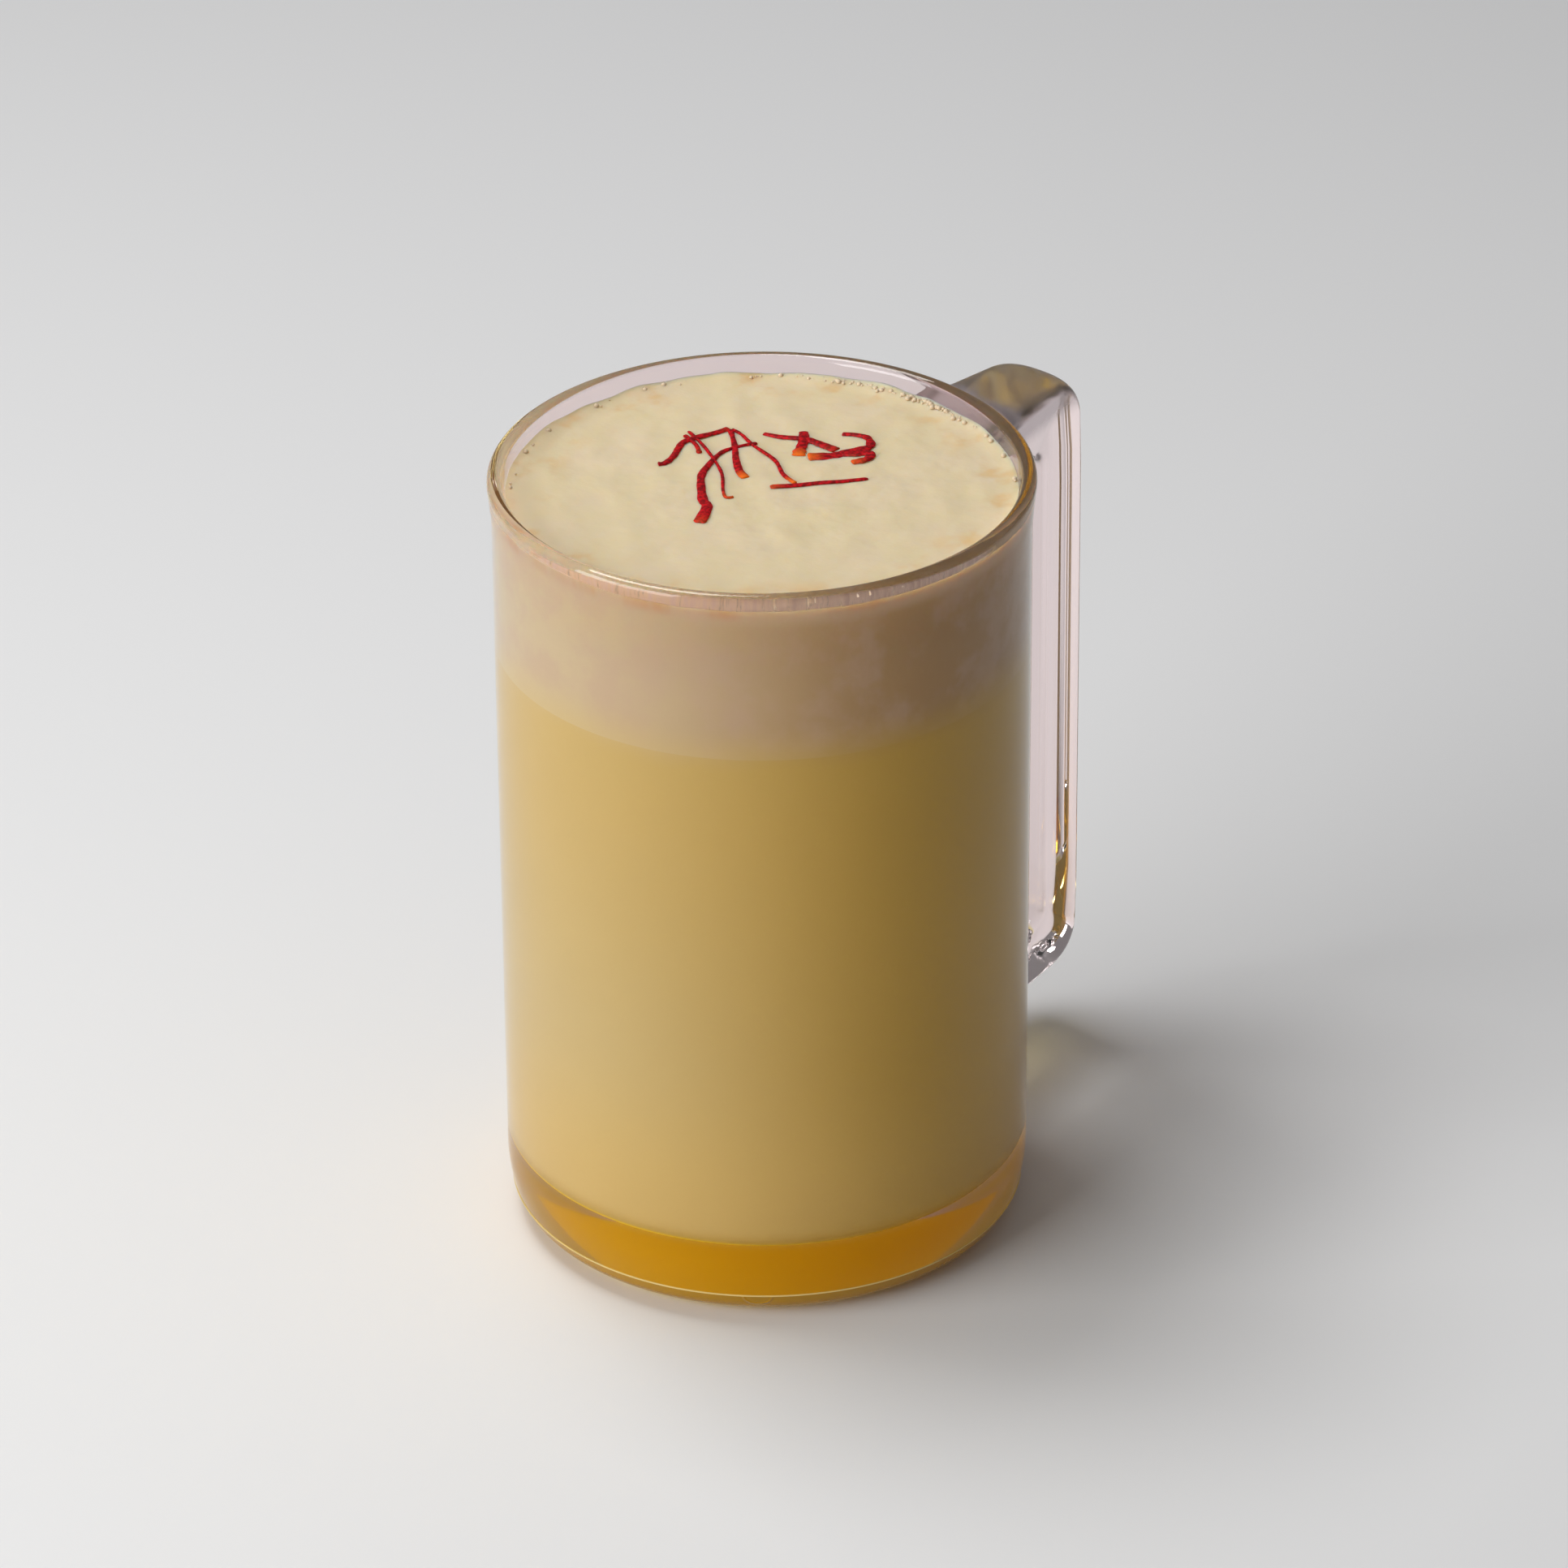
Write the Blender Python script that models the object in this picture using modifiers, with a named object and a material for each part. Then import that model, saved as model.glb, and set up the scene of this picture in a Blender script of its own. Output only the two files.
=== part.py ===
"""Masala chai in a clear glass mug, with a layer of foam and saffron threads on top.

The mug stands on the middle of its flat bottom at the origin, with its handle along +X.
Lengths are in metres; MM turns a size in millimetres into metres.
"""

from math import asin, cos, pi, sin, sqrt

import bmesh
import bpy
from mathutils import Vector

MM = 0.001

# Driving dimensions of the mug
MUG_HEIGHT = 110.8 * MM
MUG_RADIUS = 36.0 * MM
FOOT_NARROWING = 0.3 * MM
RIM_RADIUS = 36.5 * MM
RIM_THICKNESS = 2.1 * MM
RIM_DEPTH = 6.0 * MM
WALL = 2.5 * MM
FLOOR_HEIGHT = 10.4 * MM
FLOOR_FILLET = 3.5 * MM
HEEL_TOP = 9.4 * MM
MOULD_HEIGHT = 3.9 * MM
MOULD_RADIUS = 35.0 * MM
HEEL_ARC = 5.2 * MM
TURN_STEPS = 64

# Driving dimensions of the handle
HANDLE_REACH = 60.5 * MM
HANDLE_TOP = 101.5 * MM
HANDLE_BOTTOM = 13.2 * MM
HANDLE_ROOT = 34.2 * MM
ARM_THICKNESS = 7.1 * MM
STRAP_THICKNESS = 7.1 * MM
STRAP_WIDTH = 12.4 * MM
ARM_FLARE_START = 57.0 * MM
ARM_FLARE_SLOPE = 0.15
ARM_CROWN = 2.0 * MM
STRAP_CROWN = 2.8 * MM
CROWN_POWER = 2.5
OUTER_CORNER = 5.0 * MM
INNER_CORNER = 3.0 * MM
CORNER_MARGIN = 1.0 * MM
SECTION_EDGE = 1.2 * MM
CORNER_STEPS = 5
EDGE_STEPS = 2
CROWN_STEPS = 10

# Driving dimensions of the drink and its foam
FIT_GAP = 0.3 * MM
CHAI_TOP = 85.8 * MM
FOAM_TOP = 107.9 * MM
FOAM_EDGE_RISE = 0.4 * MM
FOAM_EDGE_WIDTH = 2.4 * MM
FOAM_RINGS = 9
FROTH_HEIGHT = 0.22 * MM
FROTH_WAVE = 9.0 * MM

# Saffron threads: route on the foam in mm, width at the root and at the tip in mm
THREADS = {
    "long_curl": (((-3.1, 15.3), (-0.2, 15.3), (4.0, 16.9), (8.5, 15.6), (11.1, 14.9)), 0.5, 0.5),
    "left_fork": (((11.0, 14.6), (7.6, 11.0), (4.7, 8.4), (1.3, 3.9)), 0.5, 0.9),
    "right_fork": (((11.2, 14.4), (9.6, 10.4), (7.6, 4.1), (4.1, -2.3)), 0.45, 0.8),
    "trumpet": (((10.0, 9.1), (6.8, 10.8), (3.0, 11.0), (-2.4, 8.5), (-7.0, 4.4), (-12.4, 0.4)), 0.5, 1.5),
    "hook": (((6.9, 18.5), (4.5, 13.4), (1.3, 8.5), (-3.5, 3.8), (-4.1, 1.5)), 0.45, 0.8),
    "spur": (((5.6, 18.1), (4.5, 15.2), (3.0, 13.3)), 0.5, 0.6),
    "far_thread": (((12.8, 10.3), (13.5, 7.6), (14.9, 4.6), (15.2, -0.4)), 0.5, 0.5),
    "loop": (((11.1, 1.2), (15.6, -2.0), (18.5, -3.3), (20.6, -1.4), (19.2, 1.9)), 1.1, 0.8),
    "inner_loop": (((15.5, -2.7), (17.1, -4.6), (13.5, -4.4)), 0.7, 0.6),
    "stub": (((16.4, 6.3), (14.5, 4.7), (10.7, 2.5)), 0.8, 1.3),
    "straight": (((1.0, -0.6), (6.0, -4.8), (11.1, -9.1)), 0.5, 0.5),
}
THREAD_STEPS = 3
THREAD_SINK = 0.35

# Colours, roughness and clearness, as seen
GLASS_COLOUR = (0.93, 0.91, 0.92, 1.0)
CHAI_COLOUR = (0.47, 0.33, 0.14, 1.0)
FOAM_COLOUR = (0.71, 0.58, 0.37, 1.0)


def material(name, colour, roughness, transmission=0.0):
    """A Principled material with one colour."""
    made = bpy.data.materials.new(name)
    made.use_nodes = True
    shader = made.node_tree.nodes["Principled BSDF"]
    shader.inputs["Base Color"].default_value = colour
    shader.inputs["Roughness"].default_value = roughness
    shader.inputs["Metallic"].default_value = 0.0
    shader.inputs["Transmission Weight"].default_value = transmission
    made.diffuse_color = colour
    return made


def collection(name):
    """A new collection in the scene."""
    made = bpy.data.collections.new(name)
    bpy.context.scene.collection.children.link(made)
    return made


def arc(centre, radii, start, end, steps):
    """Points on part of an ellipse, in the plane of the profile."""
    angles = [start + (end - start) * i / steps for i in range(steps + 1)]
    return [(centre[0] + radii[0] * cos(a), centre[1] + radii[1] * sin(a)) for a in angles]


def turned(name, profile, home):
    """A solid turned about Z from a profile of (radius, height) points."""
    mesh = bpy.data.meshes.new(name)
    edges = [(i, i + 1) for i in range(len(profile) - 1)]
    mesh.from_pydata([(r, 0.0, z) for r, z in profile], edges, [])
    made = bpy.data.objects.new(name, mesh)
    home.objects.link(made)
    screw = made.modifiers.new("Turn", "SCREW")
    screw.axis = "Z"
    screw.steps = TURN_STEPS
    screw.render_steps = TURN_STEPS
    screw.use_merge_vertices = True
    screw.merge_threshold = 0.01 * MM
    screw.use_smooth_shade = True
    return made


def applied(source, home):
    """A plain mesh object of what a curve or a modified object shows, which takes its place."""
    bpy.context.view_layer.update()
    graph = bpy.context.evaluated_depsgraph_get()
    mesh = bpy.data.meshes.new_from_object(source.evaluated_get(graph))
    shape = bmesh.new()
    shape.from_mesh(mesh)
    bmesh.ops.remove_doubles(shape, verts=shape.verts, dist=0.001 * MM)
    shape.to_mesh(mesh)
    shape.free()
    made = bpy.data.objects.new(source.name, mesh)
    made.matrix_world = source.matrix_world
    name = source.name
    bpy.data.objects.remove(source)
    made.name = name
    home.objects.link(made)
    return made


# Mug

def inner_radius(z):
    """Radius of the mug's inner wall at a height above the floor's fillet."""
    wall_low = MUG_RADIUS - FOOT_NARROWING - WALL
    wall_high = MUG_RADIUS - WALL
    rim = RIM_RADIUS - RIM_THICKNESS
    rim_base = MUG_HEIGHT - RIM_DEPTH
    if z < rim_base:
        return wall_low + (wall_high - wall_low) * (z - HEEL_TOP) / (rim_base - HEEL_TOP)
    return wall_high + (rim - wall_high) * (z - rim_base) / RIM_DEPTH


def mug_profile():
    """From the middle of the floor up the inner wall, over the rim and down the outer wall."""
    rim_base = MUG_HEIGHT - RIM_DEPTH
    rim_half = RIM_THICKNESS / 2
    floor_corner = inner_radius(FLOOR_HEIGHT + FLOOR_FILLET)
    foot = MUG_RADIUS - FOOT_NARROWING
    points = [(0.0, FLOOR_HEIGHT)]
    points += arc((floor_corner - FLOOR_FILLET, FLOOR_HEIGHT + FLOOR_FILLET), (FLOOR_FILLET, FLOOR_FILLET),
                  -pi / 2, 0.0, 5)
    points.append((inner_radius(rim_base), rim_base))
    points += arc((RIM_RADIUS - rim_half, MUG_HEIGHT - rim_half), (rim_half, rim_half), pi, 0.0, 8)
    points.append((MUG_RADIUS, rim_base))
    # The heel draws in to the mould line, then rounds to the flat bottom
    for share in (0.0, 0.4, 0.75):
        points.append((foot - (foot - MOULD_RADIUS) * share ** 2, HEEL_TOP - (HEEL_TOP - MOULD_HEIGHT) * share))
    tilt = asin(1.0 - MOULD_HEIGHT / HEEL_ARC)
    points += arc((MOULD_RADIUS - HEEL_ARC * cos(tilt), HEEL_ARC), (HEEL_ARC, HEEL_ARC), -tilt, -pi / 2, 7)
    points.append((0.0, 0.0))
    return points


def handle_line(inset_x, inset_z, corner):
    """The handle's line in the XZ plane: out along the lower arm, up the strap and back along the upper arm."""
    right = HANDLE_REACH - inset_x
    low = HANDLE_BOTTOM + inset_z
    high = HANDLE_TOP - inset_z
    arm_end = HANDLE_REACH - STRAP_THICKNESS - INNER_CORNER - CORNER_MARGIN
    strap_low = HANDLE_BOTTOM + ARM_THICKNESS + INNER_CORNER + CORNER_MARGIN
    strap_high = HANDLE_TOP - ARM_THICKNESS - INNER_CORNER - CORNER_MARGIN
    line = [(HANDLE_ROOT, low), (arm_end, low)]
    line += arc((right - corner, low + corner), (corner, corner), -pi / 2, 0.0, CORNER_STEPS)
    line += [(right, strap_low), (right, strap_high)]
    line += arc((right - corner, high - corner), (corner, corner), 0.0, pi / 2, CORNER_STEPS)
    line += [(arm_end, high), (HANDLE_ROOT, high)]
    return line


def handle_section(half_width, depth, crown):
    """A section seen along the handle: flat inside, straight sides and a crowned outside, as (across, out)."""
    edge_centre = half_width - SECTION_EDGE
    right = arc((edge_centre, SECTION_EDGE), (SECTION_EDGE, SECTION_EDGE), -pi / 2, 0.0, EDGE_STEPS)
    points = list(right)
    for i in range(CROWN_STEPS + 1):
        angle = pi * i / CROWN_STEPS
        across = abs(cos(angle)) ** (2 / CROWN_POWER)
        out = abs(sin(angle)) ** (2 / CROWN_POWER)
        side = 1.0 if cos(angle) > 0 else -1.0
        points.append((side * half_width * across, depth + crown * out))
    points += [(-across, out) for across, out in reversed(right)]
    return points


def handle_solid(home):
    """The handle, lofted between sections that widen towards the wall and bulge most on the strap."""
    inner = handle_line(STRAP_THICKNESS, ARM_THICKNESS, INNER_CORNER)
    outer = handle_line(0.0, 0.0, OUTER_CORNER)
    shape = bmesh.new()
    loops = []
    for (ix, iz), (ox, oz) in zip(inner, outer):
        foot = Vector((ix, 0.0, iz))
        out = Vector((ox - ix, 0.0, oz - iz))
        depth = out.length
        out.normalize()
        half_width = STRAP_WIDTH / 2 + ARM_FLARE_SLOPE * max(0.0, ARM_FLARE_START - ox)
        crown = ARM_CROWN + (STRAP_CROWN - ARM_CROWN) * abs(out.x)
        section = handle_section(half_width, depth, crown)
        loops.append([shape.verts.new(foot + out * v + Vector((0.0, u, 0.0))) for u, v in section])
    for a, b in zip(loops, loops[1:]):
        for i in range(len(a)):
            j = (i + 1) % len(a)
            shape.faces.new((a[i], a[j], b[j], b[i]))
    shape.faces.new(list(reversed(loops[0])))
    shape.faces.new(loops[-1])
    bmesh.ops.recalc_face_normals(shape, faces=shape.faces)
    mesh = bpy.data.meshes.new("handle")
    shape.to_mesh(mesh)
    shape.free()
    mesh.shade_smooth()
    made = bpy.data.objects.new("handle", mesh)
    made.hide_render = True
    made.display_type = "WIRE"
    home.objects.link(made)
    return made


def glass_mug(home, tools):
    """The body and the handle, one piece of pressed glass."""
    made = turned("glass_mug", mug_profile(), home)
    join = made.modifiers.new("Handle", "BOOLEAN")
    join.operation = "UNION"
    join.solver = "EXACT"
    join.object = handle_solid(tools)
    made.data.materials.append(material("clear glass", GLASS_COLOUR, 0.03, 0.9))


# Drink

def chai(home):
    """The drink, from the floor up to the foam, a gap clear of the glass."""
    fillet = FLOOR_FILLET - FIT_GAP
    low = FLOOR_HEIGHT + FIT_GAP
    top = CHAI_TOP - FIT_GAP / 2
    side_low = inner_radius(low + fillet) - FIT_GAP
    profile = [(0.0, top), (inner_radius(top) - FIT_GAP, top)]
    profile += arc((side_low - fillet, low + fillet), (fillet, fillet), 0.0, -pi / 2, 5)
    profile.append((0.0, low))
    made = turned("chai", profile, home)
    made.data.materials.append(material("milk tea", CHAI_COLOUR, 0.25))


# Foam

def froth(x, y):
    """Height of the foam's top over its level, low swells that fade towards the wall."""
    k = 2 * pi / FROTH_WAVE
    swell = sin(k * x + 0.7) * cos(0.8 * k * y) + 0.6 * sin(0.55 * k * (x + y) + 2.1) * cos(0.4 * k * (x - y))
    inside = inner_radius(FOAM_TOP) - FIT_GAP
    fade = max(0.0, 1.0 - (sqrt(x * x + y * y) / inside) ** 4)
    return FROTH_HEIGHT * swell * fade / 1.6


def foam_body(home):
    """The layer of foam, from the drink up to just under the rim, its edge drawn up the wall."""
    low = CHAI_TOP + FIT_GAP / 2
    edge_top = FOAM_TOP + FOAM_EDGE_RISE
    edge = inner_radius(FOAM_TOP) - FIT_GAP
    flat = edge - FOAM_EDGE_WIDTH
    profile = [(flat * i / FOAM_RINGS, FOAM_TOP) for i in range(FOAM_RINGS + 1)]
    profile += [(edge - FOAM_EDGE_WIDTH / 3, FOAM_TOP + FOAM_EDGE_RISE / 3), (edge, edge_top)]
    profile += [(inner_radius(z) - FIT_GAP, z) for z in (MUG_HEIGHT - RIM_DEPTH, low)]
    profile.append((0.0, low))
    made = applied(turned("foam", profile, home), home)
    for vertex in made.data.vertices:
        if vertex.co.z > MUG_HEIGHT - RIM_DEPTH + FIT_GAP:
            vertex.co.z += froth(vertex.co.x, vertex.co.y)
    return made


def saffron_thread(name, route, root_width, tip_width, home):
    """One thread: a thin tube along its route, sunk a little into the foam."""
    curve = bpy.data.curves.new(name, "CURVE")
    curve.dimensions = "3D"
    curve.bevel_depth = MM / 2
    curve.bevel_resolution = 1
    curve.resolution_u = THREAD_STEPS
    curve.use_fill_caps = True
    spline = curve.splines.new("BEZIER")
    spline.bezier_points.add(len(route) - 1)
    for i, (point, (x, y)) in enumerate(zip(spline.bezier_points, route)):
        width = root_width + (tip_width - root_width) * (i / (len(route) - 1)) ** 2
        lift = width * MM * (0.5 - THREAD_SINK)
        point.co = (x * MM, y * MM, FOAM_TOP + froth(x * MM, y * MM) + lift)
        point.radius = width
        point.handle_left_type = "AUTO"
        point.handle_right_type = "AUTO"
    made = bpy.data.objects.new(name, curve)
    home.objects.link(made)
    return applied(made, home)


def foam(home, tools):
    """The foam with its saffron threads joined on."""
    made = foam_body(home)
    threads = collection("saffron threads")
    tools.children.link(threads)
    bpy.context.scene.collection.children.unlink(threads)
    for name, (route, root_width, tip_width) in THREADS.items():
        saffron_thread(name, route, root_width, tip_width, threads)
    join = made.modifiers.new("Threads", "BOOLEAN")
    join.operation = "UNION"
    join.solver = "EXACT"
    join.operand_type = "COLLECTION"
    join.collection = threads
    made = applied(made, home)
    for thread in list(threads.objects):
        bpy.data.objects.remove(thread)
    made.data.materials.clear()
    made.data.materials.append(material("milk foam", FOAM_COLOUR, 0.6))


def main():
    """Clears the scene and makes the three solids."""
    for old in list(bpy.data.objects):
        bpy.data.objects.remove(old)
    part = collection("masala chai")
    tools = collection("joining shapes")
    glass_mug(part, tools)
    chai(part)
    foam(part, tools)


main()
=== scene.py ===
"""Masala chai in a clear glass mug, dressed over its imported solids.

The mug, the tea, the foam, the milk film, the bubbles and the saffron threads are each made by one operator,
and the floor, the lights and the camera by one more.
Lengths are in metres; MM turns a size in millimetres into metres.
"""

from math import asin, atan2, cos, hypot, pi, radians, sin
from random import Random

import bmesh
import bpy
from bpy.props import FloatProperty, FloatVectorProperty, IntProperty, PointerProperty
from mathutils import Matrix, Vector, noise


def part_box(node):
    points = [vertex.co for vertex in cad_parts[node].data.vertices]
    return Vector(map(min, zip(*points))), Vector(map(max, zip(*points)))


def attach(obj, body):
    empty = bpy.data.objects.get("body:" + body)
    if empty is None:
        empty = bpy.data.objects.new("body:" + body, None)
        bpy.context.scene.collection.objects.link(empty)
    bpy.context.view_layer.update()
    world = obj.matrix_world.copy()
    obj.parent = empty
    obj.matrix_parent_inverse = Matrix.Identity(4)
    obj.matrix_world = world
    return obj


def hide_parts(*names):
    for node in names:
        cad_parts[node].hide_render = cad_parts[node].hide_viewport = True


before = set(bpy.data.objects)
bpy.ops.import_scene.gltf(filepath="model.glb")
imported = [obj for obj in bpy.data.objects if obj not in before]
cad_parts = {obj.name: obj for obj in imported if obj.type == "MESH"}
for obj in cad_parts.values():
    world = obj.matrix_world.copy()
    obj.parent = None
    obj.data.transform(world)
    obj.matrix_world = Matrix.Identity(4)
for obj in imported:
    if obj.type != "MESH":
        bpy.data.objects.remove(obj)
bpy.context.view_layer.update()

bl_info = {
    "name": "Masala Chai in a Glass Mug",
    "version": (1, 0, 0),
    "blender": (4, 5, 0),
    "location": "3D View > Sidebar > Masala Chai",
    "description": "Adds a glass mug of milky spiced tea with foam and saffron threads",
    "category": "Add Mesh",
}

MM = 0.001
MUG_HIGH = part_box("glass_mug")[1]
CHAI_LOW, CHAI_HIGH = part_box("chai")

# What the solids keep clear of each other, and how far the drink reaches into the wall here
FIT_GAP = 0.3 * MM
INTO_WALL = 0.12 * MM

# Heights between its ends at which the straight wall has a ring
WALL_LEVELS = (40 * MM, 70 * MM)

# Where the photograph was taken from, round the mug
CAMERA_EYE = Vector((-828.8, -689.1, 655.9)) * MM
CAMERA_TARGET = Vector((1.7, -2.05, 63.35)) * MM
CAMERA_ROLL = -0.378
CAMERA_LENS = 209.3
VIEW_AZIMUTH = atan2(-CAMERA_EYE.y, -CAMERA_EYE.x)
FRONT = VIEW_AZIMUTH + pi

# Saffron threads: route on the foam in mm, width at the root and at the tip in mm, and how orange the tip is
THREADS = {
    "long_curl": (((-3.1, 15.4), (-2.3, 14.9), (-0.2, 15.3), (2.3, 16.4), (4.4, 16.9), (8.5, 15.6),
                   (11.1, 14.9)), 0.8, 0.9, 0.1),
    "left_fork": (((11.0, 14.6), (7.6, 11.0), (4.7, 8.4), (2.4, 5.9), (1.3, 3.9)), 0.6, 1.2, 1.0),
    "right_fork": (((11.2, 14.4), (10.7, 12.4), (9.3, 9.4), (7.6, 4.1), (5.2, 0.6), (4.1, -2.3)),
                   0.4, 0.6, 1.0),
    "trumpet": (((10.0, 9.1), (6.8, 10.8), (4.7, 11.1), (1.0, 10.0), (-2.4, 8.5), (-7.0, 4.4),
                 (-8.6, 2.3), (-12.6, 0.3)), 0.5, 1.5, 0.2),
    "hook": (((6.9, 18.5), (4.5, 13.4), (1.3, 8.5), (-0.6, 6.3), (-3.5, 3.8), (-4.8, 2.2),
              (-4.1, 1.5)), 0.4, 0.4, 0.5),
    "spur": (((5.6, 18.1), (4.5, 15.2), (3.0, 13.3)), 0.5, 0.6, 0.1),
    "far_thread": (((12.8, 10.3), (13.5, 7.6), (14.9, 4.6), (15.2, 1.9), (15.2, -0.4)), 0.7, 1.5, 0.1),
    "loop": (((19.2, 1.9), (20.2, 0.2), (20.4, -1.6), (18.5, -3.3), (15.6, -2.0), (13.5, -1.0),
              (11.1, 1.2)), 0.7, 1.8, 0.8),
    "inner_loop": (((14.6, -1.6), (15.8, -3.2), (17.1, -4.6), (15.5, -5.4), (13.5, -4.4)), 1.3, 1.0, 0.5),
    "stub": (((16.4, 6.3), (14.5, 4.7), (12.1, 3.4), (10.7, 2.5)), 1.1, 1.6, 1.0),
    "straight": (((11.1, -9.1), (6.0, -4.8), (1.0, -0.6)), 0.6, 0.9, 0.3),
}


def linear(text):
    """An sRGB hex colour as linear red, green, blue and alpha."""
    channels = [int(text[i:i + 2], 16) / 255 for i in (1, 3, 5)]
    return tuple(c / 12.92 if c <= 0.04045 else ((c + 0.055) / 1.055) ** 2.4 for c in channels) + (1.0,)


def darker(colour, share):
    """A colour with only a share of its light."""
    return [c * share for c in colour[:3]] + [1.0]


def size(label, text, millimetres):
    """A length that the user can change."""
    return FloatProperty(name=label, description=text, default=millimetres * MM, min=0.0, precision=5,
                         subtype="DISTANCE", unit="LENGTH")


def tint(label, text, colour):
    """A colour that the user can change."""
    return FloatVectorProperty(name=label, description=text, default=linear(colour), size=4, min=0.0, max=1.0,
                               subtype="COLOR")


class MasalaChaiSettings(bpy.types.PropertyGroup):
    """Sizes and colours of the mug and what is in it."""

    wall: size("Wall", "Thickness of the mug's wall", 2.5)
    outer_radius: size("Outer radius", "Radius of the mug's wall under the rim", 36.0)
    foot_narrowing: size("Foot narrowing", "How much narrower the wall is at the heel", 0.3)
    rim_thickness: size("Rim thickness", "Thickness of the rounded rim", 2.1)
    rim_depth: size("Rim depth", "Height over which the wall widens to the rim", 6.0)
    floor_fillet: size("Floor fillet", "Rounding between the floor and the inner wall", 3.5)
    heel_top: size("Heel top", "Height at which the wall starts to draw in", 9.4)
    mould_line: size("Mould line", "Height of the fine mould line on the heel", 3.9)
    mould_radius: size("Mould radius", "Radius of the heel at the mould line", 35.0)
    mould_ledge: size("Mould ledge", "How far the mould line stands out", 0.12)
    heel_arc: size("Heel arc", "Radius of the rounding below the mould line", 5.2)
    handle_reach: size("Handle reach", "From the mug's axis to the strap's edges", 60.5)
    arm_low: size("Lower arm", "Height of the lower arm's bottom edges", 13.2)
    arm_high: size("Upper arm", "Height of the upper arm's top edges", 101.5)
    strap_width: size("Strap width", "Width of the handle's upright strap", 12.4)
    strap_thickness: size("Strap thickness", "Thickness of the strap at its edges", 7.1)
    arm_thickness: size("Arm thickness", "Thickness of the handle's arms at their edges", 7.1)
    foam_top: size("Foam top", "Height of the foam's level", 107.9)
    foam_wave: size("Foam wave", "Width of the foam's low swells", 9.0)
    foam_swell: size("Foam swell", "Height of the foam's low swells", 0.13)
    turn_steps: IntProperty(name="Turn steps", description="Sides of the turned pieces", default=288,
                            min=24, max=512)
    glass_tint: tint("Glass", "Tint of the clear glass", "#FDEDED")
    # The foot's ambers are a painted reflection of the tea's underside, with painted shade on the handle's
    # side
    foot_painted_reflection: tint("Foot tint", "Amber of the mug's flat bottom", "#FFE428")
    foot_reflection_painted_shade: tint("Deep foot tint", "Amber of the flat bottom on the handle's side", "#E4B01C")
    foot_edge_painted_reflection: tint("Foot edge", "Amber of the rounding below the mould line", "#B88A18")
    # Painted highlight along the mould line
    line_painted_glint: tint("Mould line tint", "Pale glint along the mould line", "#FFF0B0")
    # Painted reflection on the upper arm's top
    arm_painted_reflection: tint("Arm tint", "Brown-grey that the upper arm's top shows", "#B4A8AC")
    wall_glare: tint("Wall glare", "How much the glass wall reflects", "#BCB8B5")
    base_glare: tint("Base glare", "How much the thick base reflects", "#CBAA59")
    tea_colour: tint("Tea", "Milk tea at the wall", "#EADDA0")
    tea_foot: tint("Foot of the tea", "Milk tea low on the wall", "#F8DF86")
    # Painted shade on the handle's side, and deeper high up
    tea_deep_and_painted_shade: tint("Deep tea", "Milk tea on the handle's side and high up", "#E4C656")
    # Painted glow: the tea's amber underside also emits this colour
    amber_colour: tint("Amber", "Underside of the tea, seen through the base", "#F2D624")
    # Painted shade on the handle's side
    amber_painted_shade: tint("Deep amber", "Underside of the tea on the handle's side", "#A07A10")
    # Painted reflection: the tea's amber, tinted into the thick base
    base_painted_reflection: tint("Base tint", "Amber that the tea gives the thick base", "#FFE066")
    foam_colour: tint("Foam", "Cream of the foam", "#DDCBA4")
    foam_band: tint("Foam band", "Foam under its top, against the wall", "#E6DCB2")
    # Painted shade on the handle's side
    foam_painted_shade: tint("Deep foam", "Foam under its top on the handle's side", "#CDAE76")
    foam_pale: tint("Pale foam", "Paler patches of the foam", "#DFCBAE")
    foam_tan: tint("Foam stain", "Orange-tan stains near the foam's edge", "#DBBA88")
    film_colour: tint("Milk film", "Milk left on the wall above the foam", "#DCC48A")
    film_pale: tint("Pale film", "Milk film on the handle's side", "#FBEFD2")
    saffron_red: tint("Saffron", "Dried saffron thread", "#C40E18")
    saffron_orange: tint("Saffron tip", "Orange end of a saffron thread", "#F2741A")
    floor_colour: tint("Floor", "Pale studio floor", "#E7E7E7")


# Modelling helpers

def nothing_selected():
    """Object mode with nothing selected."""
    if bpy.context.object and bpy.context.object.mode != "OBJECT":
        bpy.ops.object.mode_set(mode="OBJECT")
    bpy.ops.object.select_all(action="DESELECT")


def only(piece):
    """Selects this object alone."""
    nothing_selected()
    piece.select_set(True)
    bpy.context.view_layer.objects.active = piece


def arc(centre, radius, start, end, steps):
    """Points on part of a circle, in the plane of the profile."""
    angles = [start + (end - start) * i / steps for i in range(steps + 1)]
    return [(centre[0] + radius * cos(a), centre[1] + radius * sin(a)) for a in angles]


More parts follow.
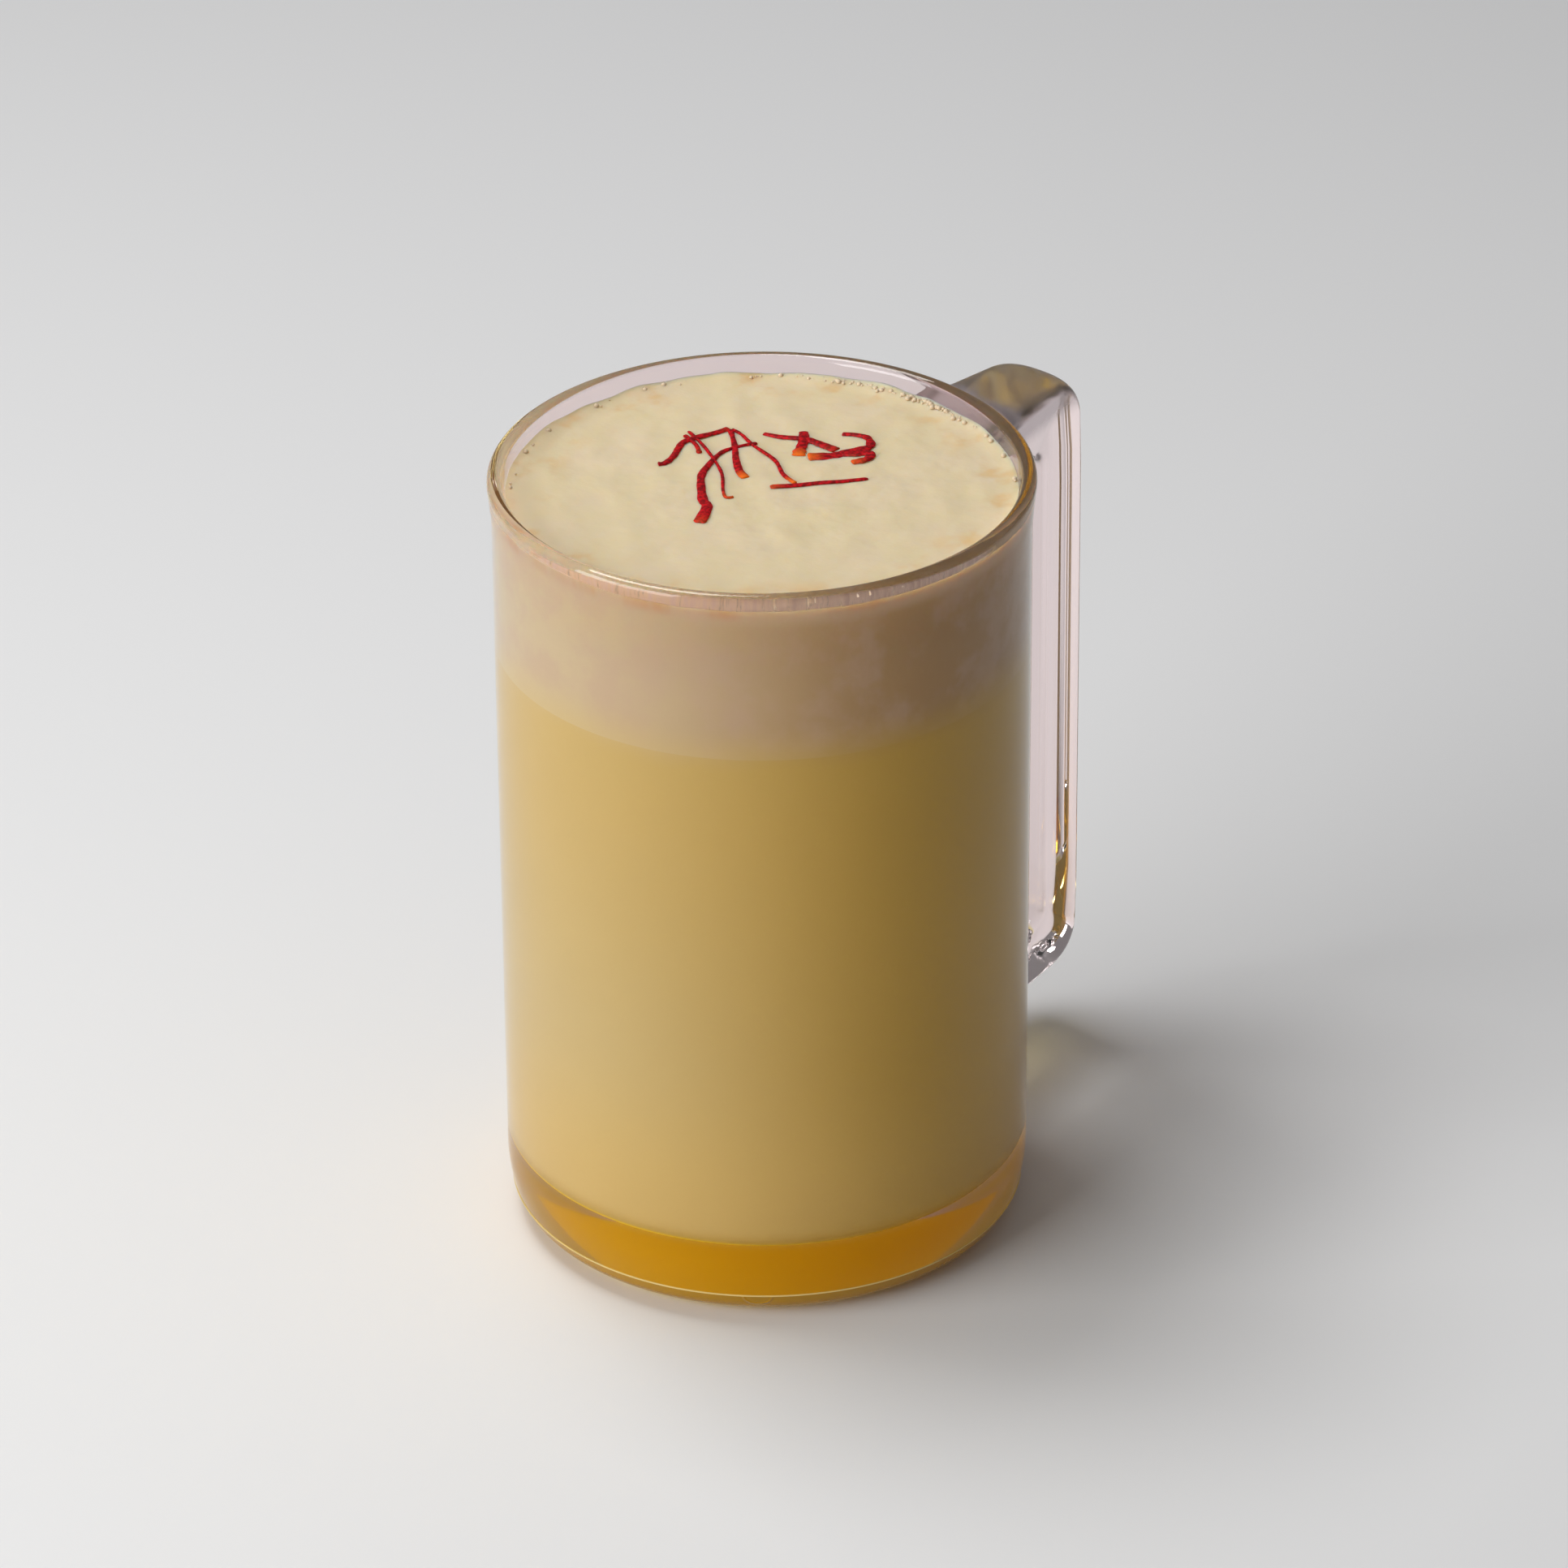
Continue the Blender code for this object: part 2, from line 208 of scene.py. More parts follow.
def turned(name, profile, steps):
    """A closed piece: one corner of a plane, extruded along the profile and spun about Z."""
    nothing_selected()
    bpy.ops.mesh.primitive_plane_add(size=MM, location=(0.0, 0.0, 0.0))
    piece = bpy.context.object
    piece.name = name
    bpy.ops.object.mode_set(mode="EDIT")
    shape = bmesh.from_edit_mesh(piece.data)
    shape.verts.ensure_lookup_table()
    for i, corner in enumerate(shape.verts):
        corner.select = i > 0
    shape.select_flush(True)
    bmesh.update_edit_mesh(piece.data)
    bpy.ops.mesh.delete(type="VERT")
    shape = bmesh.from_edit_mesh(piece.data)
    shape.verts.ensure_lookup_table()
    shape.verts[0].co = (profile[0][0], 0.0, profile[0][1])
    shape.verts[0].select = True
    bmesh.update_edit_mesh(piece.data)
    for a, b in zip(profile, profile[1:]):
        step = (b[0] - a[0], 0.0, b[1] - a[1])
        bpy.ops.mesh.extrude_vertices_move(TRANSFORM_OT_translate={"value": step})
    bpy.ops.mesh.select_all(action="SELECT")
    bpy.ops.mesh.spin(steps=steps, angle=2 * pi, center=(0.0, 0.0, 0.0), axis=(0.0, 0.0, 1.0))
    bpy.ops.mesh.select_all(action="SELECT")
    bpy.ops.mesh.remove_doubles(threshold=0.002 * MM)
    bpy.ops.mesh.normals_make_consistent(inside=False)
    bpy.ops.object.mode_set(mode="OBJECT")
    return piece


def set_ring(piece, ring):
    """Puts the selected face's corners on the ring's points, walking round the face."""
    shape = bmesh.from_edit_mesh(piece.data)
    face = [f for f in shape.faces if f.select][0]
    for loop, point in zip(face.loops, ring):
        loop.vert.co = point
    bmesh.update_edit_mesh(piece.data)


def lofted(name, rings):
    """A closed piece: a filled circle whose rim is set to each ring in turn and extruded to the next."""
    nothing_selected()
    bpy.ops.mesh.primitive_circle_add(vertices=len(rings[0]), radius=MM, fill_type="NGON",
                                      location=(0.0, 0.0, 0.0))
    piece = bpy.context.object
    piece.name = name
    bpy.ops.object.mode_set(mode="EDIT")
    set_ring(piece, rings[0])
    for ring in rings[1:]:
        bpy.ops.mesh.extrude_region_move(TRANSFORM_OT_translate={"value": (0.0, 0.0, MM)})
        set_ring(piece, ring)
    bpy.ops.mesh.select_all(action="SELECT")
    bpy.ops.mesh.normals_make_consistent(inside=False)
    bpy.ops.object.mode_set(mode="OBJECT")
    return piece


def joined(name, pieces):
    """The pieces as one object."""
    only(pieces[0])
    for piece in pieces[1:]:
        piece.select_set(True)
    bpy.ops.object.join()
    bpy.context.object.name = name
    return bpy.context.object


def smooth(piece, angle=40.0):
    """Smooth shading that keeps edges sharper than the angle."""
    only(piece)
    bpy.ops.object.shade_smooth_by_angle(angle=radians(angle))


def finish_piece(piece, finish, slot, *nodes):
    """The finish, the body and the solids that the piece stands for; the slot is not used."""
    piece.data.materials.clear()
    piece.data.materials.append(finish)
    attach(piece, "root")
    if nodes:
        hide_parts(*nodes)


# Shapes shared by the pieces

def inner_radius(s, z):
    """Radius of the mug's inner wall at a height above the floor's fillet."""
    low = s.outer_radius - s.foot_narrowing - s.wall
    high = s.outer_radius - s.wall
    rim = MUG_HIGH.y - s.rim_thickness
    rim_base = MUG_HIGH.z - s.rim_depth
    if z < rim_base:
        return low + (high - low) * (z - s.heel_top) / (rim_base - s.heel_top)
    return high + (rim - high) * (z - rim_base) / s.rim_depth


def swell(s, x, y):
    """Height of the foam's low swells over its level, at the solid's places and a little flatter."""
    k = 2 * pi / s.foam_wave
    wave = sin(k * x + 0.7) * cos(0.8 * k * y) + 0.6 * sin(0.55 * k * (x + y) + 2.1) * cos(0.4 * k * (x - y))
    greatest = 1.6
    inside = inner_radius(s, s.foam_top) - FIT_GAP
    fade = max(0.0, 1.0 - (hypot(x, y) / inside) ** 4)
    return s.foam_swell * wave * fade / greatest


# Materials

# Settings that the nodes share; a Mix node's colours are inputs 6 and 7 and its third output
BLEND = {"data_type": "RGBA"}
COLOUR = 2
EASED = {"interpolation_type": "SMOOTHSTEP"}
TIMES = {"operation": "MULTIPLY"}
TIMES_PLUS = {"operation": "MULTIPLY_ADD"}
MINUS = {"operation": "SUBTRACT"}
WITHOUT_SIGN = {"operation": "ABSOLUTE"}
WHITE = linear("#FFFFFF")
BLACK = linear("#000000")


def add(tree, kind, settings=None, out=0, **links):
    """Adds a node of a kind with its settings, links or sets its inputs, and gives one of its outputs."""
    made = tree.nodes.new("ShaderNode" + kind)
    for key, value in (settings or {}).items():
        setattr(made, key, value)
    for key, value in links.items():
        numbered = key[0] == "i" and key[1:].isdigit()
        socket = made.inputs[int(key[1:]) if numbered else key.replace("_", " ")]
        if isinstance(value, bpy.types.NodeSocket):
            tree.links.new(value, socket)
        else:
            socket.default_value = value
    return made.outputs[out]


def new_material(name):
    """A material with its node tree and its Principled shader's inputs."""
    made = bpy.data.materials.new(name)
    made.use_nodes = True
    return made, made.node_tree, made.node_tree.nodes["Principled BSDF"].inputs


def settled(tree, place, height):
    """0 in the tea and 1 in the foam, passing over 8.5 mm at an uneven level between them."""
    # The level drifts by up to 2 mm, in waves about 16 mm across
    drift = add(tree, "TexNoise", out="Fac", Vector=place, Scale=1 / (16 * MM), Detail=2.0)
    lift = add(tree, "Math", TIMES_PLUS, i0=drift, i1=4 * MM, i2=-2 * MM)
    level = add(tree, "Math", {"operation": "ADD"}, i0=height, i1=lift)
    middle = CHAI_HIGH.z + FIT_GAP / 2
    return add(tree, "MapRange", EASED, Value=level, From_Min=middle - 2.5 * MM, From_Max=middle + 6.0 * MM)


def handle_side(tree, place):
    """0 on the side away from the handle and 1 on its side, across the photograph's view."""
    across = Vector((sin(VIEW_AZIMUTH), -cos(VIEW_AZIMUTH), 0.0))
    reach = add(tree, "VectorMath", {"operation": "DOT_PRODUCT"}, "Value", i0=place, i1=across)
    return add(tree, "MapRange", EASED, Value=reach, From_Min=-30 * MM, From_Max=26 * MM)


def clear_glass(s):
    """Pressed soda-lime glass: clear with a faint pink cast, and a little wavy, so reflections wobble."""
    made, tree, shader = new_material("clear pressed soda-lime glass")
    shader["IOR"].default_value = 1.5
    place = add(tree, "TexCoord", out="Object")
    height = add(tree, "SeparateXYZ", out="Z", Vector=place)
    # The foot below the mould line is deep amber, and yellower on its flat bottom: a painted reflection of
    # the tea's amber underside, with painted shade on the handle's side
    foot = add(tree, "MapRange", EASED, Value=height, From_Min=s.mould_line + 0.2 * MM,
               From_Max=s.mould_line)
    bottom = add(tree, "Mix", BLEND, COLOUR, i0=handle_side(tree, place), i6=s.foot_painted_reflection, i7=s.foot_reflection_painted_shade)
    off_bottom = add(tree, "MapRange", EASED, Value=height, From_Min=0.1 * MM, From_Max=0.6 * MM)
    rounding = add(tree, "Mix", BLEND, COLOUR, i0=off_bottom, i6=bottom, i7=s.foot_edge_painted_reflection)
    base = add(tree, "Mix", BLEND, COLOUR, i0=foot, i6=s.base_painted_reflection, i7=rounding)
    # Painted highlight: a pale glint along the mould line
    drop = add(tree, "Math", MINUS, i0=height, i1=s.mould_line)
    near_line = add(tree, "Math", WITHOUT_SIGN, i0=drop)
    glint = add(tree, "MapRange", EASED, Value=near_line, From_Min=0.14 * MM, From_Max=0.06 * MM)
    lined = add(tree, "Mix", BLEND, COLOUR, i0=glint, i6=base, i7=s.line_painted_glint)
    # Painted reflection: the thick base is tinted with the amber of the tea over it, fading in from 12.4 mm
    # down to 11.2 mm
    low = add(tree, "MapRange", EASED, Value=height, From_Min=12.4 * MM, From_Max=11.2 * MM)
    clear = add(tree, "Mix", BLEND, COLOUR, i0=low, i6=s.glass_tint, i7=lined)
    # The foot is cloudy too, so that it holds the painted amber
    cloudiness = 0.65
    clarity = add(tree, "Math", TIMES_PLUS, i0=foot, i1=-cloudiness, i2=1.0)
    tree.links.new(clarity, shader["Transmission Weight"])
    # The upper arm's top is a little satin, as the mould left it, and tinted brown-grey: a painted
    # reflection, the even brown-grey that it shows
    flat = add(tree, "VectorMath", TIMES, i0=place, i1=(1.0, 1.0, 0.0))
    radius = add(tree, "VectorMath", {"operation": "LENGTH"}, "Value", i0=flat)
    on_handle = add(tree, "MapRange", EASED, Value=radius, From_Min=38.0 * MM, From_Max=41.0 * MM)
    on_top = add(tree, "MapRange", EASED, Value=height, From_Min=97.5 * MM, From_Max=100.5 * MM)
    satin_and_painted_reflection = add(tree, "Math", TIMES, i0=on_handle, i1=on_top)
    roughness = add(tree, "Math", TIMES, i0=satin_and_painted_reflection, i1=0.3)
    tree.links.new(roughness, shader["Roughness"])
    colour = add(tree, "Mix", BLEND, COLOUR, i0=satin_and_painted_reflection, i6=clear, i7=s.arm_painted_reflection)
    tree.links.new(colour, shader["Base Color"])
    # Reflections are held low on the wall and left whole on the fire-polished rim and the mould line
    on_rim = add(tree, "MapRange", EASED, Value=height, From_Min=106 * MM, From_Max=108 * MM)
    glare = add(tree, "Mix", BLEND, COLOUR, i0=on_rim, i6=s.wall_glare, i7=WHITE)
    low_glare = add(tree, "Mix", BLEND, COLOUR, i0=low, i6=glare, i7=s.base_glare)
    lined_glare = add(tree, "Mix", BLEND, COLOUR, i0=glint, i6=low_glare, i7=WHITE)
    tree.links.new(lined_glare, shader["Specular Tint"])
    # The mould's gate mark: a shallow U, 3.8 mm wide, under the mould line at the front
    mark_turn, mark_radius = FRONT - 0.04, 1.9 * MM
    middle = Vector((cos(mark_turn) * s.mould_radius, sin(mark_turn) * s.mould_radius, s.mould_line))
    off_middle = add(tree, "VectorMath", {"operation": "DISTANCE"}, "Value", i0=place, i1=middle)
    off_curve = add(tree, "Math", MINUS, i0=off_middle, i1=mark_radius)
    near_curve = add(tree, "Math", WITHOUT_SIGN, i0=off_curve)
    stroke = add(tree, "MapRange", EASED, Value=near_curve, From_Min=0.3 * MM, From_Max=0.0)
    below = add(tree, "MapRange", EASED, Value=height, From_Min=s.mould_line,
                From_Max=s.mould_line - 0.2 * MM)
    mark = add(tree, "Math", TIMES, i0=stroke, i1=below)
    # Press marks about 14 mm apart, a fiftieth as deep as the gate mark
    wave = add(tree, "TexNoise", out="Fac", Vector=place, Scale=1 / (14 * MM), Detail=1.0)
    relief = add(tree, "Math", TIMES_PLUS, i0=wave, i1=0.02, i2=mark)
    bump = add(tree, "Bump", Strength=1.0, Distance=0.1 * MM, Height=relief)
    tree.links.new(bump, shader["Normal"])
    return made


def milk_tea(s):
    """Milk tea: opaque and even, deeper high up, with painted shade on the handle's side, and amber
    underneath with a painted glow.
    """
    made, tree, shader = new_material("milk tea with saffron")
    place = add(tree, "TexCoord", out="Object")
    height = add(tree, "SeparateXYZ", out="Z", Vector=place)
    side = handle_side(tree, place)
    # Slow clouds about 20 mm across
    cloud = add(tree, "TexNoise", out="Fac", Vector=place, Scale=1 / (20 * MM), Detail=3.0)
    pale = add(tree, "Mix", BLEND, COLOUR, i0=cloud, i6=s.tea_colour, i7=darker(s.tea_colour, 0.94))
    # Deeper high up, painted shade towards the handle, and warmer near the foot
    risen = add(tree, "MapRange", EASED, Value=height, From_Min=30 * MM, From_Max=85 * MM)
    upper = add(tree, "Mix", BLEND, COLOUR, i0=0.35, i6=s.tea_colour, i7=s.tea_deep_and_painted_shade)
    high = add(tree, "Mix", BLEND, COLOUR, i0=risen, i6=pale, i7=upper)
    painted_shade_sided = add(tree, "Mix", BLEND, COLOUR, i0=side, i6=high, i7=s.tea_deep_and_painted_shade)
    sunk = add(tree, "MapRange", EASED, Value=height, From_Min=42 * MM, From_Max=14 * MM)
    foot = add(tree, "Math", TIMES, i0=sunk, i1=0.55)
    body = add(tree, "Mix", BLEND, COLOUR, i0=foot, i6=painted_shade_sided, i7=s.tea_foot)
    # The foam band where the foam settles, with painted shade on the handle's side
    band = add(tree, "Mix", BLEND, COLOUR, i0=side, i6=s.foam_band, i7=s.foam_painted_shade)
    topped = add(tree, "Mix", BLEND, COLOUR, i0=settled(tree, place, height), i6=body, i7=band)
    # Amber starts where the side turns under, in one millimetre, with painted shade on the handle's side, and
    # has a painted glow: it emits its amber, standing in for the light that the base gathers
    under = add(tree, "MapRange", EASED, Value=height, From_Min=CHAI_LOW.z + 0.9 * MM,
                From_Max=CHAI_LOW.z - 0.1 * MM)
    amber = add(tree, "Mix", BLEND, COLOUR, i0=side, i6=s.amber_colour, i7=s.amber_painted_shade)
    colour = add(tree, "Mix", BLEND, COLOUR, i0=under, i6=topped, i7=amber)
    tree.links.new(colour, shader["Base Color"])
    painted_glow = add(tree, "Mix", BLEND, COLOUR, i0=under, i6=BLACK, i7=amber)
    tree.links.new(painted_glow, shader["Emission Color"])
    shader["Emission Strength"].default_value = 0.43
    shader["Roughness"].default_value = 0.4
    shader["Specular IOR Level"].default_value = 0.0
    return made


def milk_foam(s):
    """Milk foam: matt and soft-lit, of bubbles too fine to see one by one, stained tan near its edge."""
    made, tree, shader = new_material("milk foam")
    place = add(tree, "TexCoord", out="Object")
    height = add(tree, "SeparateXYZ", out="Z", Vector=place)
    side = handle_side(tree, place)
    # Under its top it is paler, with painted shade on the handle's side
    under = add(tree, "MapRange", EASED, Value=height, From_Min=s.foam_top - 0.3 * MM,
                From_Max=s.foam_top - 3.0 * MM)
    depth = add(tree, "Math", TIMES, i0=under, i1=side)
    banded = add(tree, "Mix", BLEND, COLOUR, i0=under, i6=s.foam_colour, i7=s.foam_band)
    body = add(tree, "Mix", BLEND, COLOUR, i0=depth, i6=banded, i7=s.foam_painted_shade)
    # Pale patches about 9 mm across
    patch = add(tree, "TexNoise", out="Fac", Vector=place, Scale=1 / (9 * MM), Detail=4.0, Roughness=0.6)
    patched = add(tree, "MapRange", EASED, Value=patch, From_Min=0.4, From_Max=0.65)
    pale = add(tree, "Mix", BLEND, COLOUR, i0=0.5, i6=body, i7=s.foam_pale)
    cream = add(tree, "Mix", BLEND, COLOUR, i0=patched, i6=body, i7=pale)
    # Stains about 7 mm across, on the top and towards the wall
    flat = add(tree, "VectorMath", TIMES, i0=place, i1=(1.0, 1.0, 0.0))
    radius = add(tree, "VectorMath", {"operation": "LENGTH"}, "Value", i0=flat)
    outer = add(tree, "MapRange", EASED, Value=radius, From_Min=25 * MM, From_Max=31.5 * MM)
    upper = add(tree, "MapRange", EASED, Value=height, From_Min=s.foam_top - 2.0 * MM,
                From_Max=s.foam_top - 0.5 * MM)
    edge = add(tree, "Math", TIMES, i0=outer, i1=upper)
    spot = add(tree, "TexNoise", out="Fac", Vector=flat, Scale=1 / (7 * MM), Detail=3.0, Roughness=0.55)
    spotted = add(tree, "MapRange", EASED, Value=spot, From_Min=0.48, From_Max=0.68)
    stain = add(tree, "Math", TIMES, i0=spotted, i1=edge)
    stained = add(tree, "Mix", BLEND, COLOUR, i0=stain, i6=cream, i7=s.foam_tan)
    # The tea under the foam, with painted shade on the handle's side
    tea = add(tree, "Mix", BLEND, COLOUR, i0=side, i6=s.tea_colour, i7=s.tea_deep_and_painted_shade)
    colour = add(tree, "Mix", BLEND, COLOUR, i0=settled(tree, place, height), i6=tea, i7=stained)
    tree.links.new(colour, shader["Base Color"])
    shader["Roughness"].default_value = 0.6
    shader["Specular IOR Level"].default_value = 0.2
    # Light softens the top only
    softened = add(tree, "MapRange", EASED, Value=height, From_Min=96 * MM, From_Max=104 * MM)
    tree.links.new(softened, shader["Subsurface Weight"])
    shader["Subsurface Radius"].default_value = (1.0, 0.75, 0.45)
    shader["Subsurface Scale"].default_value = 2.0 * MM
    # Bubbles of about 0.6 mm, drawn a little coarser than real ones so that they show
    froth = add(tree, "TexVoronoi", out="Distance", Vector=place, Scale=1 / (0.6 * MM))
    bump = add(tree, "Bump", Strength=0.2, Distance=0.06 * MM, Height=froth)
    tree.links.new(bump, shader["Normal"])
    return made


def milk_film(s):
    """Milk film drying on glass: thin and brownish, with paler upright streaks where it ran down."""
    made, tree, shader = new_material("dried milk film")
    place = add(tree, "TexCoord", out="Object")
    # Streaks about 0.7 mm apart and 8 mm long
    streak_size = (1 / (0.7 * MM), 1 / (0.7 * MM), 1 / (8 * MM))
    drawn = add(tree, "VectorMath", TIMES, i0=place, i1=streak_size)
    streak = add(tree, "TexNoise", out="Fac", Vector=drawn, Scale=1.0, Detail=3.0, Roughness=0.6)
    milk = add(tree, "Mix", BLEND, COLOUR, i0=handle_side(tree, place), i6=s.film_colour, i7=s.film_pale)
    paler = add(tree, "MapRange", EASED, Value=streak, From_Min=0.42, From_Max=0.7)
    colour = add(tree, "Mix", BLEND, COLOUR, i0=paler, i6=milk, i7=s.foam_pale)
    tree.links.new(colour, shader["Base Color"])
    thickness = add(tree, "MapRange", EASED, Value=streak, From_Min=0.2, From_Max=0.45)
    tree.links.new(thickness, shader["Alpha"])
    shader["Roughness"].default_value = 0.5
    return made


def bubble_film(s):
    """The skin of a bubble: milky and thin, with a soft glint and hardly any light through it."""
    made, _, shader = new_material("foam bubble skin")
    shader["Base Color"].default_value = s.foam_pale
    shader["Roughness"].default_value = 0.12
    shader["IOR"].default_value = 1.1
    shader["Transmission Weight"].default_value = 0.1
    return made


def dried_saffron(s):
    """Dried saffron: dark red and a little waxy, fading to orange at the flared ends."""
    made, tree, shader = new_material("dried saffron")
    place = add(tree, "TexCoord", out="Object")
    # Darker patches about 0.5 mm apart
    dark_patch = add(tree, "TexNoise", out="Fac", Vector=place, Scale=1 / (0.5 * MM), Detail=2.0)
    darkened = add(tree, "MapRange", EASED, Value=dark_patch, From_Min=0.35, From_Max=0.65)
    red = add(tree, "Mix", BLEND, COLOUR, i0=darkened, i6=s.saffron_red, i7=darker(s.saffron_red, 0.35))
    tip = add(tree, "Attribute", {"attribute_name": "tip"}, "Fac")
    colour = add(tree, "Mix", BLEND, COLOUR, i0=tip, i6=red, i7=s.saffron_orange)
    tree.links.new(colour, shader["Base Color"])
    shader["Roughness"].default_value = 0.5
    shader["Specular IOR Level"].default_value = 0.12
    return made


def studio_floor(s):
    """Matt paper floor."""
    made, _, shader = new_material("matt paper floor")
    shader["Base Color"].default_value = s.floor_colour
    shader["Roughness"].default_value = 0.9
    shader["Specular IOR Level"].default_value = 0.1
    return made


# Mug

def mug_profile(s):
    """From the middle of the floor up the inner wall, over the rim, down the wall and round the heel."""
    floor = CHAI_LOW.z - FIT_GAP
    floor_middle = floor + s.floor_fillet
    rim_base = MUG_HIGH.z - s.rim_depth
    rim_half = s.rim_thickness / 2
    corner = inner_radius(s, floor_middle)
    foot = s.outer_radius - s.foot_narrowing
    fillet_steps, rim_steps, heel_steps, foot_steps = 12, 20, 24, 48
    points = [(corner * share, floor) for share in (0.0, 0.3, 0.6)]
    points += arc((corner - s.floor_fillet, floor_middle), s.floor_fillet, -pi / 2, 0.0, fillet_steps)
    points += [(inner_radius(s, z), z) for z in (*WALL_LEVELS, rim_base)]
    points += arc((MUG_HIGH.y - rim_half, MUG_HIGH.z - rim_half), rim_half, pi, 0.0, rim_steps)
    points += [(s.outer_radius, rim_base)]
    for share in (0.3, 0.6):
        points.append((s.outer_radius - s.foot_narrowing * share, rim_base + (s.heel_top - rim_base) * share))
    # The heel draws in to the mould line, a fine ledge that faces up, and then rounds to the flat bottom
    ledge_fade = 0.8 * MM
    for i in range(heel_steps + 1):
        share = i / heel_steps
        points.append((foot - (foot - s.mould_radius) * share ** 2,
                       s.heel_top - (s.heel_top - s.mould_line) * share))
    tilt = asin(1.0 - s.mould_line / s.heel_arc)
    flat = s.mould_radius - s.heel_arc * cos(tilt)
    for radius, z in arc((flat, s.heel_arc), s.heel_arc, -tilt, -pi / 2, foot_steps):
        points.append((radius + s.mould_ledge * max(0.0, 1.0 - (s.mould_line - z) / ledge_fade), z))
    points += [(flat * share, 0.0) for share in (0.6, 0.3, 0.0)]
    return points


def handle_line(s, inset_x, inset_z, corner):
    """A line of the handle in the XZ plane, from the wall along the lower arm, up and back to the wall."""
    # The arms start inside the wall, and end a little before the corner inside them
    root, inner_corner, margin = 34.2 * MM, 3.0 * MM, 1.0 * MM
    right = s.handle_reach - inset_x
    low = s.arm_low + inset_z
    high = s.arm_high - inset_z
    arm_end = s.handle_reach - s.strap_thickness - inner_corner - margin
    strap_low = s.arm_low + s.arm_thickness + inner_corner + margin
    strap_high = s.arm_high - s.arm_thickness - inner_corner - margin
    arm_steps, corner_steps, strap_steps = 40, 40, 12
    out = [root + (arm_end - root) * (i / arm_steps) ** 1.5 for i in range(arm_steps + 1)]
    line = [(x, low) for x in out]
    line += arc((right - corner, low + corner), corner, -pi / 2, 0.0, corner_steps)
    line += [(right, strap_low + (strap_high - strap_low) * i / strap_steps) for i in range(strap_steps + 1)]
    line += arc((right - corner, high - corner), corner, 0.0, pi / 2, corner_steps)
    line += [(x, high) for x in reversed(out)]
    return line


def handle_section(half_width, depth, crown):
    """A section along the handle: flat inside, straight sides and a crowned outside, as (across, out)."""
    edge, squareness = 1.2 * MM, 2.5
    edge_steps, crown_steps = 12, 48
    right = arc((half_width - edge, edge), edge, -pi / 2, 0.0, edge_steps)
    points = list(right)
    power = 2 / squareness
    for i in range(crown_steps + 1):
        angle = pi * i / crown_steps
        side = 1.0 if cos(angle) > 0 else -1.0
        across = side * half_width * abs(cos(angle)) ** power
        points.append((across, depth + crown * abs(sin(angle)) ** power))
    points += [(-across, out) for across, out in reversed(right)]
    return points


def handle_rings(s):
    """The handle's sections in place, widening towards the wall."""
    inner = handle_line(s, s.strap_thickness, s.arm_thickness, 3.0 * MM)
    outer = handle_line(s, 0.0, 0.0, 5.0 * MM)
    flare_start, flare_slope = 57.0 * MM, 0.15
    arm_crown, strap_crown = 2.0 * MM, 2.8 * MM
    rings = []
    for (ix, iz), (ox, oz) in zip(inner, outer):
        foot = Vector((ix, 0.0, iz))
        out = Vector((ox - ix, 0.0, oz - iz))
        depth = out.length
        out.normalize()
        half_width = s.strap_width / 2 + flare_slope * max(0.0, flare_start - ox)
        crown = arm_crown + (strap_crown - arm_crown) * abs(out.x)
        section = handle_section(half_width, depth, crown)
        rings.append([foot + out * v + Vector((0.0, u, 0.0)) for u, v in section])
    return rings


class MASALACHAI_OT_glass_mug(bpy.types.Operator):
    """Adds the clear glass mug with its handle, one piece of pressed glass"""

    bl_idname = "masala_chai.glass_mug"
    bl_label = "Glass Mug"

    def execute(self, context):
        s = context.scene.masala_chai
        mug = turned("clear_glass_mug", mug_profile(s), s.turn_steps)
        handle = lofted("mug_handle", handle_rings(s))
        only(mug)
        join = mug.modifiers.new("Handle", "BOOLEAN")
        join.operation = "UNION"
        join.solver = "EXACT"
        join.object = handle
        bpy.ops.object.modifier_apply(modifier=join.name)
        bpy.data.objects.remove(handle)
        smooth(mug)
        finish_piece(mug, clear_glass(s), "clear_glass", "glass_mug")
        return {"FINISHED"}


# Tea and foam

class MASALACHAI_OT_tea(bpy.types.Operator):
    """Adds the milk tea, just into the wall so that no air shows between them"""

    bl_idname = "masala_chai.tea"
    bl_label = "Milk Tea"

    def execute(self, context):
        s = context.scene.masala_chai
        low = CHAI_LOW.z - FIT_GAP - INTO_WALL
        top = CHAI_HIGH.z + FIT_GAP / 2
        fillet = s.floor_fillet + INTO_WALL
        side = inner_radius(s, low + fillet) + INTO_WALL
        profile = [(0.0, top), (side * 0.6, top), (inner_radius(s, top) + INTO_WALL, top)]
        profile += [(inner_radius(s, z) + INTO_WALL, z) for z in reversed(WALL_LEVELS)]
        profile += arc((side - fillet, low + fillet), fillet, 0.0, -pi / 2, 16)
        profile += [(side * 0.5, low), (0.0, low)]
        tea = turned("milk_tea", profile, s.turn_steps)
        smooth(tea)
        finish_piece(tea, milk_tea(s), "milk_tea", "chai")
        return {"FINISHED"}


